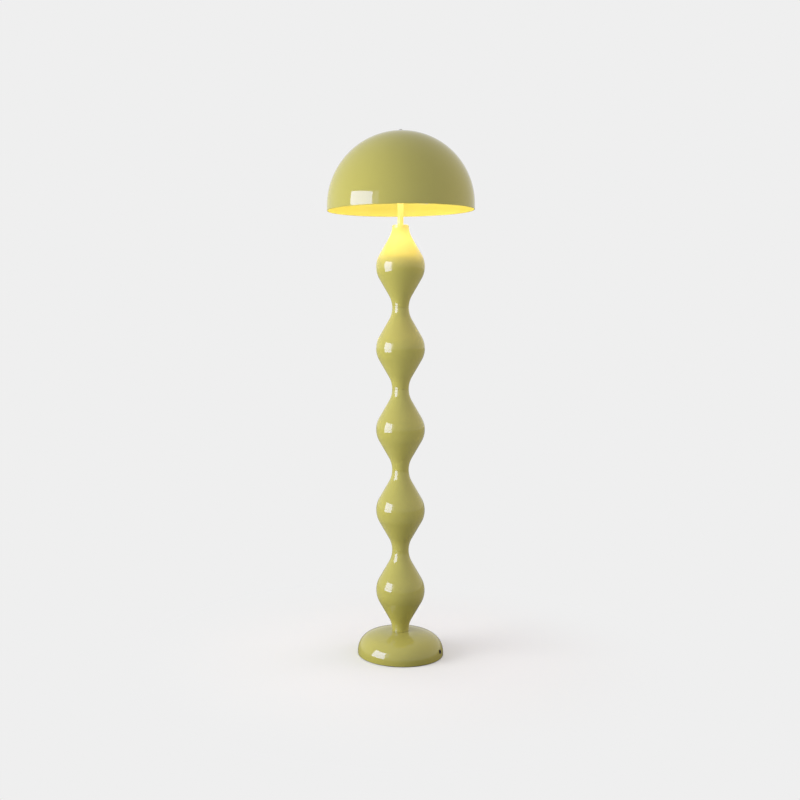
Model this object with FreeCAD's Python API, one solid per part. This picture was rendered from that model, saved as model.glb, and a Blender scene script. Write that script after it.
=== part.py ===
import FreeCAD, Part

import math
import os

from FreeCAD import Vector

# Mushroom floor lamp. Five hollow beads are threaded on a steel tube that stands in a
# weighted base. The tube carries a lamp holder and a bent strip, and the domed shade
# hangs by its crown from a stud on top of that strip.
# Millimetres, +Z up, origin on the floor under the middle of the base.

# ---------------------------------------------------------------- driving dimensions

# Base
base_diameter = 234.5
base_height = 65.0               # floor to the flat seat on top of the cover
base_skirt_height = 8.6          # upright part of the cover's side
base_crown_rise = 7.4            # how far the flat crown climbs above the round shoulder
base_seat_diameter = 62.0        # flat seat in the middle of the crown
base_wall = 1.5
cover_lift = 1.2                 # the cover's edge stays this far above the floor
pad_thickness = 2.0
pad_inset = 3.0                  # the pad stops this far inside the plate's edge
plate_thickness = 1.5
plate_edge_gap = 0.4
weight_thickness = 28.0
weight_side_gap = 12.0           # room for the cord between the weight and the cover
weight_boss_diameter = 56.0
nut_pocket_diameter = 46.0
nut_pocket_depth = 22.5

# Cord outlet
outlet_angle = -28.0             # degrees from +X, towards the front
outlet_height = 21.0
outlet_hole_diameter = 8.6
grommet_bore_diameter = 6.4
grommet_flange_diameter = 10.8
grommet_flange_thickness = 1.5
grommet_sag = 0.5                # room for the curve of the wall under a flat flange
cord_channel_width = 10.0
cord_channel_depth = 9.0

# Terminal block
block_length = 28.0
block_width = 18.0
block_height = 13.0
block_lift = 1.0                 # its lower side stays this far above the bottom plate
block_start = 24.0               # distance of its near end from the lamp's axis
block_pocket_gap = 2.0
barrel_count = 2
barrel_diameter = 4.0
barrel_bore_diameter = 2.6
barrel_spacing = 9.0             # the block's screw goes between the barrels
block_screw_diameter = 3.0
block_screw_length = 18.0
block_screw_head_diameter = 5.4
block_screw_head_height = 0.8

# Screws of the bottom plate
plate_screw_count = 4
plate_screw_circle_diameter = 170.0
plate_screw_diameter = 4.0
plate_screw_length = 12.0
plate_screw_head_diameter = 7.6
plate_screw_head_height = 1.5
pad_hole_gap = 1.0

# Column
bead_count = 5
bead_pitch = 222.0               # height of one bead
bead_diameter = 133.0            # at the belly
neck_diameter = 45.5
flank_angle = 30.0               # degrees from upright, between neck and belly
bead_wall = 1.2
bead_end_thickness = 6.0         # turned ring at each end of a bead
bead_end_bore_diameter = 34.0
bead_edge_chamfer = 0.3
foot_ring_thickness = 1.5
foot_ring_margin = 1.0           # the foot ring stands this far out of the neck
spigot_reach = 4.0               # a locating ring passes each bead end by this much
collar_diameter = 40.0
collar_thickness = 1.5

# Centre tube
tube_diameter = 16.0
tube_wall = 1.5
tube_exposed = 60.0              # from the top collar to the bracket's foot
tube_below_nut = 1.5
coupling_diameter = 22.0
coupling_length = 50.0
base_nut_flats = 24.0
base_nut_height = 8.0
base_washer_diameter = 30.0
base_washer_thickness = 2.0
spring_washer_diameter = 25.0
spring_washer_thickness = 2.5
spring_washer_slit = 3.0

# Inner lead
lead_diameter = 5.0
lead_bend_radius = 10.0
lead_lift = 3.5                  # its middle stays this far above the bottom plate

# Plug, nipple and nut at the top of the tube
plug_length = 14.0
plug_flange_thickness = 2.0
nipple_diameter = 10.0
nipple_bore_diameter = 7.2
nipple_in_holder = 8.0
holder_nut_flats = 14.0
holder_nut_height = 3.0

# Shade bracket
bracket_height = 185.3           # outside, foot to top
bracket_width = 90.0             # outside
bracket_strip_width = 14.0
bracket_strip_thickness = 2.0
bracket_top_radius = 36.0        # outside
bracket_foot_radius = 22.0       # outside

# Lamp holder
holder_diameter = 40.0
holder_wall = 2.5
holder_ledge_height = 10.0       # from the holder's underside to its core
holder_ledge_width = 3.5
core_thickness = 16.0
skirt_above_core = 26.0
skirt_lip = 2.5
shell_wall = 0.4
shell_height = 24.0
contact_diameter = 8.0
contact_thickness = 1.2

# Bulb
bulb_diameter = 60.0
bulb_length = 105.0
bulb_glass_wall = 1.0
bulb_cap_diameter = 26.1
bulb_cap_wall = 0.4
bulb_cap_length = 22.0
bulb_neck_diameter = 28.5
bulb_neck_height = 30.0          # from the tip to where the globe starts to swell
bulb_tip_diameter = 9.0
bulb_tip_thickness = 2.0
bulb_insulator_height = 3.0
bulb_seat_gap = 0.2

# Shade and its fixing
shade_diameter = 400.0
shade_skirt = 14.0               # upright band above the rim
shade_wall = 1.0
shade_hem_height = 3.0
shade_hem_thickness = 2.2
shade_flat_diameter = 28.0       # flat seat around the hole in the crown
shade_hole_gap = 0.4
gasket_thickness = 1.5
seat_plate_thickness = 1.5
seat_plate_diameter = 27.0
stud_diameter = 6.0
stud_in_finial = 3.4
stud_head_flats = 10.0
stud_head_height = 4.0
stud_nut_height = 3.2
finial_diameter = 12.0
finial_height = 5.0
finial_edge_height = 2.0
finial_roof = 1.0                # metal left above the stud's end
finial_washer_diameter = 16.0
finial_washer_thickness = 0.8

# Clearances, on the radius
thread_gap = 0.05                # a threaded piece in its nut
slip_gap = 0.2                   # a ring, washer or nipple slipped over another piece
fit_gap = 0.1                    # locating rings, lamp holder parts

# ---------------------------------------------------------------- derived places

plate_bottom = pad_thickness
plate_top = plate_bottom + plate_thickness
weight_top = plate_top + weight_thickness
cover_radius = base_diameter / 2
cover_seat_radius = base_seat_diameter / 2
cover_inner_top = base_height - base_wall
plate_radius = cover_radius - base_wall - plate_edge_gap
weight_radius = cover_radius - base_wall - weight_side_gap
pocket_ceiling = plate_top + nut_pocket_depth

shoulder_radius = base_height - base_skirt_height - base_crown_rise
shoulder_centre = (cover_radius - shoulder_radius, base_skirt_height)
crown_reach = shoulder_centre[0] - cover_seat_radius
crown_drop = base_height - base_skirt_height
crown_radius = (crown_reach**2 + crown_drop**2 - shoulder_radius**2) / (2 * base_crown_rise)
crown_centre = (cover_seat_radius, base_height - crown_radius)
crown_angle = math.atan2(
    shoulder_centre[1] - crown_centre[1], shoulder_centre[0] - crown_centre[0]
)

tube_radius = tube_diameter / 2
tube_bore_radius = tube_radius - tube_wall
tube_hole_radius = tube_radius + slip_gap
washer_bottom = pocket_ceiling - base_washer_thickness
spring_washer_bottom = washer_bottom - spring_washer_thickness
base_nut_bottom = spring_washer_bottom - base_nut_height
tube_bottom = base_nut_bottom - tube_below_nut

column_bottom = base_height + foot_ring_thickness
column_top = column_bottom + bead_count * bead_pitch
neck_radius = neck_diameter / 2
end_bore_radius = bead_end_bore_diameter / 2
spigot_radius = end_bore_radius - fit_gap
spigot_length = bead_end_thickness + spigot_reach
tube_joint = column_bottom + bead_count * bead_pitch / 2
tube_top = column_top + collar_thickness + tube_exposed
tube_end = tube_top - plug_flange_thickness

nipple_radius = nipple_diameter / 2
bracket_foot_top = tube_top + bracket_strip_thickness
bracket_top = tube_top + bracket_height
holder_bottom = bracket_foot_top + holder_nut_height
core_bottom = holder_bottom + holder_ledge_height
core_top = core_bottom + core_thickness
holder_joint = core_bottom + core_thickness / 2
holder_radius = holder_diameter / 2
holder_inner_radius = holder_radius - holder_wall
holder_mouth = core_top + skirt_above_core
bulb_cap_radius = bulb_cap_diameter / 2
shell_inner_radius = bulb_cap_radius + fit_gap
bulb_bottom = core_top + contact_thickness + bulb_seat_gap

stud_radius = stud_diameter / 2
seat_plate_bottom = bracket_top + stud_nut_height
gasket_bottom = seat_plate_bottom + seat_plate_thickness
shade_seat = gasket_bottom + gasket_thickness
shade_radius = shade_diameter / 2
shade_flat_radius = shade_flat_diameter / 2
shade_flat_top = shade_seat + shade_wall
dome_centre = shade_flat_top - math.sqrt(shade_radius**2 - shade_flat_radius**2)
rim_height = dome_centre - shade_skirt
finial_washer_bottom = shade_flat_top
finial_bottom = finial_washer_bottom + finial_washer_thickness
stud_top = finial_bottom + stud_in_finial

outlet_x = math.cos(math.radians(outlet_angle))
outlet_y = math.sin(math.radians(outlet_angle))
up = Vector(0, 0, 1)
axis_point = Vector(0, 0, 0)


# ---------------------------------------------------------------- drawing helpers


class Outline:
    """A closed outline in the radius-height plane, drawn from point to point."""

    def __init__(self, radius, height):
        self.start = self.here = Vector(radius, 0, height)
        self.edges = []

    def line(self, radius, height):
        end = Vector(radius, 0, height)
        self.edges.append(Part.LineSegment(self.here, end).toShape())
        self.here = end
        return self

    def arc(self, radius, height, centre):
        """An arc of under half a turn about centre, to the given point."""
        end = Vector(radius, 0, height)
        middle_point = Vector(centre[0], 0, centre[1])
        from_centre = self.here - middle_point
        to_centre = end - middle_point
        halfway = (from_centre + to_centre).normalize() * from_centre.Length
        self.edges.append(Part.Arc(self.here, middle_point + halfway, end).toShape())
        self.here = end
        return self

    def face(self):
        self.line(self.start.x, self.start.z)
        return Part.Face(Part.Wire(self.edges))

    def turned(self):
        """The solid that the outline sweeps round the lamp's axis."""
        return self.face().revolve(axis_point, up, 360)


def ring(outer_radius, inner_radius, bottom, top):
    """A plain turned ring between two heights."""
    body = Part.makeCylinder(outer_radius, top - bottom, Vector(0, 0, bottom))
    bore = Part.makeCylinder(inner_radius, top - bottom, Vector(0, 0, bottom))
    return body.cut(bore)


def hexagon(flats, bottom, top):
    """A hexagonal bar of the given width over its flats."""
    reach = flats / math.sqrt(3)
    corners = []
    for side in range(7):
        turn = math.radians(60 * side)
        corners.append(Vector(reach * math.cos(turn), reach * math.sin(turn), bottom))
    return Part.Face(Part.makePolygon(corners)).extrude(Vector(0, 0, top - bottom))


def hex_nut(flats, bore_radius, bottom, top):
    """A hexagonal nut with its corners turned off, top and bottom."""
    bar = hexagon(flats, bottom, top)
    flat_radius = flats / 2
    corner_radius = flats / math.sqrt(3)
    bevel = (corner_radius - flat_radius) / 2
    blank = Outline(bore_radius, bottom).line(flat_radius, bottom)
    blank.line(corner_radius, bottom + bevel).line(corner_radius, top - bevel)
    blank.line(flat_radius, top).line(bore_radius, top)
    return bar.common(blank.turned())


def radial_box(start, end, width, bottom, top):
    """A box that lies along the cord outlet's direction, between two distances."""
    box = Part.makeBox(end - start, width, top - bottom, Vector(start, -width / 2, bottom))
    box.rotate(axis_point, up, outlet_angle)
    return box


def around(shape, count, first_angle):
    """A group of equal separate solids, turned evenly round the lamp's axis."""
    copies = []
    for number in range(count):
        copy = shape.copy()
        copy.rotate(axis_point, up, first_angle + number * 360 / count)
        copies.append(copy)
    return copies


# ---------------------------------------------------------------- base


def base_surface(outline, inset):
    """Draws the cover's side, shoulder and crown, moved inwards by inset, from its foot."""
    shoulder = shoulder_radius - inset
    crown = crown_radius - inset
    tangent = (
        crown_centre[0] + crown * math.cos(crown_angle),
        crown_centre[1] + crown * math.sin(crown_angle),
    )
    outline.line(shoulder_centre[0] + shoulder, base_skirt_height)
    outline.arc(tangent[0], tangent[1], shoulder_centre)
    outline.arc(cover_seat_radius, base_height - inset, crown_centre)


def outlet_frame():
    """Where the cord outlet's middle crosses the cover, and the wall's outward normal."""
    lean = math.asin((outlet_height - base_skirt_height) / shoulder_radius)
    distance = shoulder_centre[0] + shoulder_radius * math.cos(lean)
    middle = Vector(distance * outlet_x, distance * outlet_y, outlet_height)
    outwards = Vector(outlet_x * math.cos(lean), outlet_y * math.cos(lean), math.sin(lean))
    return middle, outwards


def make_base_cover():
    outer = Outline(0, cover_lift).line(cover_radius, cover_lift)
    base_surface(outer, 0)
    outer.line(0, base_height)
    inner = Outline(0, cover_lift - 1).line(cover_radius - base_wall, cover_lift - 1)
    base_surface(inner, base_wall)
    inner.line(0, cover_inner_top)
    cover = outer.turned().cut(inner.turned())
    cover = cover.cut(Part.makeCylinder(tube_hole_radius, base_height * 2))
    middle, outwards = outlet_frame()
    hole_start = middle - outwards * (base_wall * 4)
    return cover.cut(
        Part.makeCylinder(outlet_hole_diameter / 2, base_wall * 8, hole_start, outwards)
    )


def make_cord_grommet():
    """A flanged rubber ring, snapped into the outlet hole square to the wall."""
    inner_face = base_wall + 2 * grommet_sag
    outline = Outline(grommet_bore_diameter / 2, -inner_face - grommet_flange_thickness)
    outline.line(grommet_flange_diameter / 2, -inner_face - grommet_flange_thickness)
    outline.line(grommet_flange_diameter / 2, -inner_face)
    outline.line(outlet_hole_diameter / 2 - fit_gap, -inner_face)
    outline.line(outlet_hole_diameter / 2 - fit_gap, fit_gap)
    outline.line(grommet_flange_diameter / 2, fit_gap)
    outline.line(grommet_flange_diameter / 2, fit_gap + grommet_flange_thickness)
    outline.line(grommet_bore_diameter / 2, fit_gap + grommet_flange_thickness)
    grommet = outline.turned()
    middle, outwards = outlet_frame()
    grommet.Placement = FreeCAD.Placement(middle, FreeCAD.Rotation(up, outwards))
    return grommet


def plate_screw_places():
    """Middle points of the plate's screws, clear of the cord channel."""
    turn = 180 / plate_screw_count
    arm = Part.Vertex(plate_screw_circle_diameter / 2, 0, 0)
    return [v.Point for v in around(arm, plate_screw_count, outlet_angle + turn)]


def make_base_weight():
    weight = Part.makeCylinder(weight_radius, weight_thickness, Vector(0, 0, plate_top))
    boss_height = cover_inner_top - weight_top
    boss = Part.makeCylinder(weight_boss_diameter / 2, boss_height, Vector(0, 0, weight_top))
    weight = weight.fuse(boss).removeSplitter()
    weight = weight.cut(Part.makeCylinder(tube_hole_radius, base_height))
    weight = weight.cut(
        Part.makeCylinder(nut_pocket_diameter / 2, nut_pocket_depth, Vector(0, 0, plate_top))
    )
    block_ceiling = plate_top + block_lift + block_height
    weight = weight.cut(
        radial_box(
            0,
            block_start + block_length + block_pocket_gap,
            block_width + 2 * block_pocket_gap,
            plate_top,
            block_ceiling,
        )
    )
    weight = weight.cut(
        radial_box(
            0, weight_radius * 2, cord_channel_width, plate_top, plate_top + cord_channel_depth
        )
    )
    hole_radius = plate_screw_diameter / 2 + thread_gap
    for place in plate_screw_places():
        start = Vector(place.x, place.y, plate_top)
        weight = weight.cut(Part.makeCylinder(hole_radius, plate_screw_length, start))
    return weight.cut(block_screw_hole(block_screw_diameter / 2 + thread_gap))


def make_base_plate():
    plate = Part.makeCylinder(plate_radius, plate_thickness, Vector(0, 0, plate_bottom))
    hole_radius = plate_screw_diameter / 2 + slip_gap
    for place in plate_screw_places():
        start = Vector(place.x, place.y, plate_bottom)
        plate = plate.cut(Part.makeCylinder(hole_radius, plate_thickness, start))
    return plate


def make_base_pad():
    pad = Part.makeCylinder(plate_radius - pad_inset, pad_thickness)
    hole_radius = plate_screw_head_diameter / 2 + pad_hole_gap
    for place in plate_screw_places():
        pad = pad.cut(Part.makeCylinder(hole_radius, pad_thickness, place))
    return pad


def make_plate_screws():
    """Pan-head screws that hold the bottom plate to the weight."""
    screws = []
    for place in plate_screw_places():
        head_start = Vector(place.x, place.y, plate_bottom - plate_screw_head_height)
        head = Part.makeCylinder(
            plate_screw_head_diameter / 2, plate_screw_head_height, head_start
        )
        shank_start = Vector(place.x, place.y, plate_bottom)
        shank = Part.makeCylinder(plate_screw_diameter / 2, plate_screw_length, shank_start)
        screws.append(head.fuse(shank).removeSplitter())
    return Part.makeCompound(screws)


# ---------------------------------------------------------------- terminal block


def block_screw_hole(radius):
    """A round bar along the block's screw, from the block's underside into the weight."""
    distance = block_start + block_length / 2
    bottom = plate_top + block_lift
    start = Vector(distance * outlet_x, distance * outlet_y, bottom)
    return Part.makeCylinder(radius, block_screw_length, start)


def barrel_bars(radius):
    """One round bar for each barrel of the terminal block, side by side."""
    bars = []
    height = plate_top + block_lift + block_height / 2
    for number in range(barrel_count):
        side = (number - (barrel_count - 1) / 2) * barrel_spacing
        start = Vector(block_start, side, height)
        bar = Part.makeCylinder(radius, block_length, start, Vector(1, 0, 0))
        bar.rotate(axis_point, up, outlet_angle)
        bars.append(bar)
    return bars


def make_terminal_block():
    bottom = plate_top + block_lift
    block = radial_box(
        block_start, block_start + block_length, block_width, bottom, bottom + block_height
    )
    for bar in barrel_bars(barrel_diameter / 2):
        block = block.cut(bar)
    return block.cut(block_screw_hole(block_screw_diameter / 2 + thread_gap))


def make_terminal_barrels():
    barrels = []
    bores = barrel_bars(barrel_bore_diameter / 2)
    for bar, bore in zip(barrel_bars(barrel_diameter / 2), bores):
        barrels.append(bar.cut(bore))
    return Part.makeCompound(barrels)


def make_block_screw():
    shank = block_screw_hole(block_screw_diameter / 2)
    distance = block_start + block_length / 2
    bottom = plate_top + block_lift - block_screw_head_height
    start = Vector(distance * outlet_x, distance * outlet_y, bottom)
    head = Part.makeCylinder(block_screw_head_diameter / 2, block_screw_head_height, start)
    return head.fuse(shank).removeSplitter()


# ---------------------------------------------------------------- nut under the column


def make_base_washer():
    return ring(
        base_washer_diameter / 2, tube_radius + slip_gap, washer_bottom, pocket_ceiling
    )


def make_spring_washer():
    """A split ring: one narrow slit lets it act as a spring."""
    washer = ring(
        spring_washer_diameter / 2, tube_radius + slip_gap, spring_washer_bottom, washer_bottom
    )
    slit = Part.makeBox(
        spring_washer_diameter,
        spring_washer_slit,
        spring_washer_thickness,
        Vector(0, -spring_washer_slit / 2, spring_washer_bottom),
    )
    return washer.cut(slit)


def make_base_nut():
    return hex_nut(
        base_nut_flats, tube_radius + thread_gap, base_nut_bottom, spring_washer_bottom
    )


# ---------------------------------------------------------------- column


def bead_curve(outline, bottom, inset, cut):
    """Draws one bead's side upwards from its lower neck, moved inwards by inset.

    The side leaves the neck on an arc, runs straight up the flank, and turns upright
    again at the belly on an equal arc. The upper half mirrors the lower one. The first
    and last point lie at height cut above the lower end and below the upper end.
    """
    turn = math.radians(flank_angle)
    swell = (bead_diameter - neck_diameter) / 2
    rise = bead_pitch / 2
    arcs = (rise * math.sin(turn) - swell * math.cos(turn)) / (1 - math.cos(turn))
    neck_arc = arcs / 2 + inset
    belly_arc = arcs / 2 - inset
    middle = bottom + rise
    neck_centre = neck_radius + arcs / 2
    belly_centre = (bead_diameter - arcs) / 2
    lower_end = (neck_centre - math.sqrt(neck_arc**2 - cut**2), bottom + cut)
    lower_flank = (
        neck_centre - neck_arc * math.cos(turn),
        bottom + neck_arc * math.sin(turn),
    )
    lower_belly = (
        belly_centre + belly_arc * math.cos(turn),
        middle - belly_arc * math.sin(turn),
    )
    outline.line(*lower_end)
    outline.arc(*lower_flank, (neck_centre, bottom))
    outline.line(*lower_belly)
    outline.arc(lower_belly[0], 2 * middle - lower_belly[1], (belly_centre, middle))
    outline.line(lower_flank[0], 2 * middle - lower_flank[1])
    outline.arc(lower_end[0], 2 * middle - lower_end[1], (neck_centre, bottom + bead_pitch))


def make_bead(number):
    """One hollow bead: two pressed halves joined at the belly, with a turned ring
    welded into each neck."""
    bottom = column_bottom + number * bead_pitch
    top = bottom + bead_pitch
    outer = Outline(0, bottom).line(neck_radius - bead_edge_chamfer, bottom)
    bead_curve(outer, bottom, 0, bead_edge_chamfer)
    outer.line(neck_radius - bead_edge_chamfer, top).line(0, top)
    inner = Outline(0, bottom + bead_end_thickness)
    bead_curve(inner, bottom, bead_wall, bead_end_thickness)
    inner.line(0, top - bead_end_thickness)
    bore = Part.makeCylinder(end_bore_radius, bead_pitch, Vector(0, 0, bottom))
    return outer.turned().cut(inner.turned()).cut(bore)


def make_neck_spigot(number):
    """A turned ring that lines up two beads and guides the tube between them."""
    joint = column_bottom + number * bead_pitch
    return ring(
        spigot_radius, tube_radius + slip_gap, joint - spigot_length, joint + spigot_length
    )


def make_foot_ring():
    """The thin ring that shows between the base and the lowest bead."""
    flange = ring(
        neck_radius + foot_ring_margin, tube_radius + slip_gap, base_height, column_bottom
    )
    spigot = ring(
        spigot_radius,
        tube_radius + slip_gap,
        column_bottom,
        column_bottom + spigot_length,
    )
    return flange.fuse(spigot).removeSplitter()


def make_top_collar():
    """Brazed to the tube, it presses the stack of beads down when the nut is drawn up."""
    flange = ring(
        collar_diameter / 2,
        tube_radius + thread_gap,
        column_top,
        column_top + collar_thickness,
    )
    spigot = ring(
        spigot_radius, tube_radius + thread_gap, column_top - spigot_length, column_top
    )
    return flange.fuse(spigot).removeSplitter()


def make_lower_tube():
    return ring(tube_radius, tube_bore_radius, tube_bottom, tube_joint)


def make_upper_tube():
    return ring(tube_radius, tube_bore_radius, tube_joint, tube_end)


def make_tube_coupling():
    return ring(
        coupling_diameter / 2,
        tube_radius + thread_gap,
        tube_joint - coupling_length / 2,
        tube_joint + coupling_length / 2,
    )


def make_inner_lead():
    """The lead from the terminal block to the lamp holder: in along the base, one bend,
    and straight up through the tube and the nipple."""
    height = plate_top + lead_lift
    turn = lead_bend_radius
    lean = turn * (1 - math.sqrt(0.5))
    block_end = Vector(block_start, 0, height)
    bend_start = Vector(turn, 0, height)
    bend_middle = Vector(lean, 0, height + lean)
    bend_end = Vector(0, 0, height + turn)
    holder_end = Vector(0, 0, core_bottom)
    path = Part.Wire(
        [
            Part.LineSegment(block_end, bend_start).toShape(),
            Part.Arc(bend_start, bend_middle, bend_end).toShape(),
            Part.LineSegment(bend_end, holder_end).toShape(),
        ]
    )
    section = Part.Wire([Part.makeCircle(lead_diameter / 2, block_end, Vector(-1, 0, 0))])
    lead = path.makePipeShell([section], True, False)
    lead.rotate(axis_point, up, outlet_angle)
    return lead


# ---------------------------------------------------------------- lamp holder


def make_tube_plug():
    """Pressed into the tube's upper end, and threaded for the nipple."""
    shank_radius = tube_bore_radius - thread_gap
    shank = ring(shank_radius, nipple_radius + thread_gap, tube_end - plug_length, tube_end)
    flange = ring(tube_radius, nipple_radius + thread_gap, tube_end, tube_top)
    return shank.fuse(flange).removeSplitter()


def make_holder_nipple():
    """A short hollow thread that clamps the bracket and carries the lamp holder."""
    return ring(
        nipple_radius,
        nipple_bore_diameter / 2,
        tube_end - plug_length,
        holder_bottom + nipple_in_holder,
    )


def make_holder_nut():
    return hex_nut(
        holder_nut_flats, nipple_radius + thread_gap, bracket_foot_top, holder_bottom
    )


def make_holder_cap():
    """The holder's lower half: a cup with a threaded neck and a ledge for the core."""
    ledge_radius = holder_inner_radius - holder_ledge_width
    cap = Outline(nipple_radius + thread_gap, holder_bottom)
    cap.line(holder_radius - holder_wall, holder_bottom)
    cap.line(holder_radius, holder_bottom + holder_wall)
    cap.line(holder_radius, holder_joint)
    cap.line(holder_inner_radius, holder_joint)
    cap.line(holder_inner_radius, core_bottom)
    cap.line(ledge_radius, core_bottom)
    cap.line(ledge_radius, holder_bottom + holder_wall)
    cap.line(nipple_radius + thread_gap, holder_bottom + holder_wall)
    return cap.turned()


def make_holder_skirt():
    """The holder's upper half, with a lip that keeps the core on its ledge."""
    lip_radius = holder_inner_radius - skirt_lip
    skirt = Outline(holder_inner_radius, holder_joint)
    skirt.line(holder_radius, holder_joint)
    skirt.line(holder_radius, holder_mouth)
    skirt.line(lip_radius, holder_mouth)
    skirt.line(lip_radius, core_top)
    skirt.line(holder_inner_radius, core_top)
    return skirt.turned()


def make_holder_core():
    """The porcelain insert that carries the live parts."""
    core_radius = holder_inner_radius - fit_gap
    return Part.makeCylinder(core_radius, core_thickness, Vector(0, 0, core_bottom))


def make_screw_shell():
    """The threaded brass shell that takes the bulb's cap."""
    return ring(
        shell_inner_radius + shell_wall, shell_inner_radius, core_top, core_top + shell_height
    )


def make_centre_contact():
    return Part.makeCylinder(contact_diameter / 2, contact_thickness, Vector(0, 0, core_top))


# ---------------------------------------------------------------- bulb


def bulb_solid(inset):
    """The globe and its neck as one solid, moved inwards by inset."""
    globe = bulb_diameter / 2 - inset
    centre = bulb_bottom + bulb_length - bulb_diameter / 2
    neck = bulb_neck_diameter / 2 - inset
    neck_top = bulb_bottom + bulb_neck_height
    cap_top = bulb_bottom + bulb_tip_thickness + bulb_insulator_height + bulb_cap_length
    distance = math.hypot(neck, centre - neck_top)
    to_neck = math.atan2(neck_top - centre, neck)
    touch = to_neck + math.acos(globe / distance)
    glass = Outline(0, cap_top).line(bulb_cap_radius - bulb_cap_wall - inset, cap_top)
    glass.line(neck, neck_top)
    glass.line(globe * math.cos(touch), centre + globe * math.sin(touch))
    glass.arc(0, centre + globe, (0, centre))
    return glass.turned()


def make_bulb_globe():
    return bulb_solid(0).cut(bulb_solid(bulb_glass_wall))


def make_bulb_cap():
    """The threaded metal sleeve under the globe, closed below by the insulator."""
    bottom = bulb_bottom + bulb_tip_thickness + bulb_insulator_height
    return ring(
        bulb_cap_radius, bulb_cap_radius - bulb_cap_wall, bottom, bottom + bulb_cap_length
    )


def make_bulb_insulator():
    """A cone of dark glass between the sleeve and the tip."""
    bottom = bulb_bottom + bulb_tip_thickness
    cone = Outline(0, bottom).line(bulb_tip_diameter / 2, bottom)
    cone.line(bulb_cap_radius, bottom + bulb_insulator_height)
    cone.line(0, bottom + bulb_insulator_height)
    return cone.turned()


def make_bulb_tip():
    return Part.makeCylinder(bulb_tip_diameter / 2, bulb_tip_thickness, Vector(0, 0, bulb_bottom))


# ---------------------------------------------------------------- shade and its fixing


def rounded_plate(width, bottom, top, foot_radius, head_radius):
    """An upright plate with rounded corners, as wide as the bracket's strip."""
    half = width / 2
    outline = Outline(half - foot_radius, bottom)
    outline.arc(half, bottom + foot_radius, (half - foot_radius, bottom + foot_radius))
    outline.line(half, top - head_radius)
    outline.arc(half - head_radius, top, (half - head_radius, top - head_radius))
    outline.line(head_radius - half, top)
    outline.arc(-half, top - head_radius, (head_radius - half, top - head_radius))
    outline.line(-half, bottom + foot_radius)
    outline.arc(foot_radius - half, bottom, (foot_radius - half, bottom + foot_radius))
    plate = outline.face().extrude(Vector(0, bracket_strip_width, 0))
    plate.translate(Vector(0, -bracket_strip_width / 2, 0))
    return plate


def make_shade_bracket():
    """A steel strip bent into a loop round the bulb, and closed under the holder."""
    strip = bracket_strip_thickness
    outer = rounded_plate(
        bracket_width, tube_top, bracket_top, bracket_foot_radius, bracket_top_radius
    )
    inner = rounded_plate(
        bracket_width - 2 * strip,
        tube_top + strip,
        bracket_top - strip,
        bracket_foot_radius - strip,
        bracket_top_radius - strip,
    )
    bracket = outer.cut(inner)
    foot_hole = Part.makeCylinder(nipple_radius + slip_gap, strip, Vector(0, 0, tube_top))
    stud_hole = Part.makeCylinder(
        stud_radius + slip_gap, strip, Vector(0, 0, bracket_top - strip)
    )
    return bracket.cut(foot_hole).cut(stud_hole)


def make_shade_stud():
    """A screw that stands up through the bracket's top and the shade."""
    head_top = bracket_top - bracket_strip_thickness
    head = hex_nut(stud_head_flats, stud_radius, head_top - stud_head_height, head_top)
    shank_bottom = head_top - stud_head_height
    shank = Part.makeCylinder(stud_radius, stud_top - shank_bottom, Vector(0, 0, shank_bottom))
    return head.fuse(shank).removeSplitter()


def make_stud_nut():
    return hex_nut(stud_head_flats, stud_radius + thread_gap, bracket_top, seat_plate_bottom)


def make_seat_plate():
    return ring(
        seat_plate_diameter / 2, stud_radius + slip_gap, seat_plate_bottom, gasket_bottom
    )


def make_seat_gasket():
    return ring(seat_plate_diameter / 2, stud_radius + slip_gap, gasket_bottom, shade_seat)


def shade_solid(radius, flat_top, bottom):
    """The dome as a full solid, from its flat crown down to the given height."""
    flat = math.sqrt(radius**2 - (flat_top - dome_centre) ** 2)
    dome = Outline(0, bottom).line(radius, bottom).line(radius, dome_centre)
    dome.arc(flat, flat_top, (0, dome_centre))
    dome.line(0, flat_top)
    return dome.turned()


def make_shade():
    """A spun dome with an upright skirt and a folded hem, open below."""
    shade = shade_solid(shade_radius, shade_flat_top, rim_height)
    shade = shade.cut(shade_solid(shade_radius - shade_wall, shade_seat, rim_height))
    hem = ring(
        shade_radius,
        shade_radius - shade_hem_thickness,
        rim_height,
        rim_height + shade_hem_height,
    )
    hole = Part.makeCylinder(
        stud_radius + shade_hole_gap, shade_wall * 3, Vector(0, 0, shade_seat - shade_wall)
    )
    return shade.fuse(hem).removeSplitter().cut(hole)


def make_finial_washer():
    return ring(
        finial_washer_diameter / 2,
        stud_radius + slip_gap,
        finial_washer_bottom,
        finial_bottom,
    )


def make_finial_nut():
    """A low domed cap nut that holds the shade down."""
    edge = finial_bottom + finial_edge_height
    crown = finial_height - finial_edge_height
    radius = finial_diameter / 2
    sphere = (radius**2 + crown**2) / (2 * crown)
    top = finial_bottom + finial_height
    nut = Outline(0, finial_bottom).line(radius, finial_bottom).line(radius, edge)
    nut.arc(0, top, (0, top - sphere))
    bore_depth = finial_height - finial_roof
    bore = Part.makeCylinder(stud_radius + thread_gap, bore_depth, Vector(0, 0, finial_bottom))
    return nut.turned().cut(bore)


# ---------------------------------------------------------------- assembly

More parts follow.
